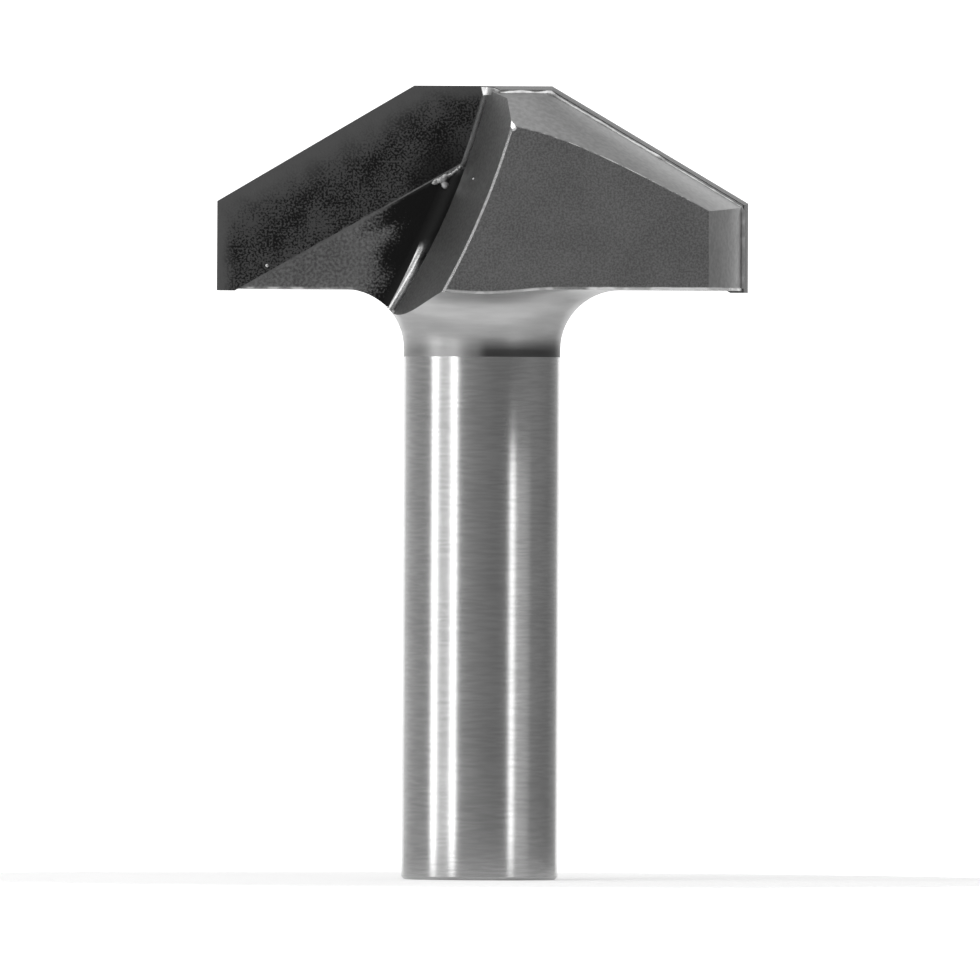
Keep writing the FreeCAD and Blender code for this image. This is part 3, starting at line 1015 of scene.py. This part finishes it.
# %% [markdown]
# ## Beads behind the tips
# Behind each tip the braze squeezed out of the joint and froze as a thin bright bead. It follows the ground
# form's edge and then turns down along the side. A curve with a round bevel draws it, and each point has its
# own thickness, because a bead thins and swells along its way.

# %% The bead's line
BEAD_DEPTH = 2.62
BEAD_INSET = 0.34
BEAD_START = 1.4
BEAD_STEP = 0.25
# How far the bead's middle stands out from the side, and how near to it the upper part may come.
SIDE_STAND_OUT = 0.06
SIDE_GAP = 0.05


def bead_line():
    """Places along the joint behind a tip, on the wing that points along +X, in millimetres."""
    side_x = math.sqrt((SIDE_RADIUS + SIDE_STAND_OUT) ** 2 - (BEAD_DEPTH + SIDE_AXIS_AHEAD) ** 2)
    count = int((side_x - SIDE_GAP - BEAD_START) / BEAD_STEP) + 1
    across = [BEAD_START + i * BEAD_STEP for i in range(count)]
    line = [(x, form_height(x, BEAD_DEPTH, BEAD_INSET)) for x in across]
    foot = line[-1][1]
    steps = int((foot - HEAD_FOOT) / BEAD_STEP)
    return line + [(side_x, foot - (i + 1) * BEAD_STEP) for i in range(steps)]


print("bead line of", len(bead_line()), "places")

# %% The bead's thickness
# How thick the bead is at some distances from the axis, as a share of the radius.
BEAD_SWELLS = (
    (1.4, 0.45), (1.6, 0.55), (2.2, 0.95), (3.2, 1.1), (3.8, 0.85), (4.15, 0.5), (4.6, 0.8), (5.4, 1.2), (6.1, 0.75),
    (8.0, 0.72), (9.5, 0.82), (10.5, 0.66), (12.5, 0.76), (14.3, 0.9), (15.0, 0.55), (17.0, 0.62), (22.0, 0.5),
)


def bead_thickness(x):
    """The bead's thickness at a distance from the axis, between the two listed places beside it."""
    (near, thin), (far, thick) = next(pair for pair in zip(BEAD_SWELLS, BEAD_SWELLS[1:]) if x < pair[1][0])
    return (x - near) / (far - near) * (thick - thin) + thin


print("share of the radius at 2, 4, 8 and 16 mm:", [round(bead_thickness(x), 2) for x in (2, 4, 8, 16)])

# %% Beads
BEAD_RADIUS = 0.36
BEAD_WOBBLE, WOBBLE_SIZE = 0.25, 0.5

for side, turn in (("short", 1), ("long", -1)):
    curve = bpy.data.curves.new("bead_line", "CURVE")
    curve.dimensions = "3D"
    curve.bevel_depth = BEAD_RADIUS * MM
    curve.bevel_resolution = 3
    curve.use_fill_caps = True
    spline = curve.splines.new("POLY")
    places = bead_line()
    spline.points.add(len(places) - 1)
    for point, (x, z) in zip(spline.points, places):
        point.co = (turn * x * MM, -turn * BEAD_DEPTH * MM, z * MM, 1)
        wobble = 1 + BEAD_WOBBLE * noise.noise(Vector((x, z, turn)) / WOBBLE_SIZE)
        point.radius = bead_thickness(x) * wobble
    drawn = bpy.data.objects.new("bead_line", curve)
    bpy.context.scene.collection.objects.link(drawn)
    depsgraph = bpy.context.evaluated_depsgraph_get()
    bm = bmesh.new()
    bm.from_mesh(drawn.evaluated_get(depsgraph).to_mesh())
    bpy.data.objects.remove(drawn)
    bead = shown_piece(f"{side}_braze_bead", bm, "silver_braze")
    bead.data.materials.append(braze_bright)
    bead.data.shade_smooth()

# %% [markdown]
# ## Drops
# Two drops spat from the hot joint and stuck, one on the wide face and one on the gullet's wall. They are balls
# pressed a little flat, sunk half into the surface.

# %% Drops
# Each drop is x, its depth behind the cutting faces, z and its radius, in millimetres.
DROPS = ((-17.48, 0, 49.72, 0.14), (-0.75, 4.1, 56.8, 0.1))
DROP_FLATNESS = 0.6

bm = bmesh.new()
for x, depth, z, radius in DROPS:
    middle = Matrix.Translation(Vector((x, -depth, z)) * MM)
    flatter = Matrix.Diagonal((1, DROP_FLATNESS, 1, 1))
    bmesh.ops.create_icosphere(bm, subdivisions=3, radius=radius * MM, matrix=middle @ flatter)
drops = shown_piece("braze_drops", bm, "silver_braze")
drops.data.materials.append(braze_bright)
drops.data.shade_smooth()
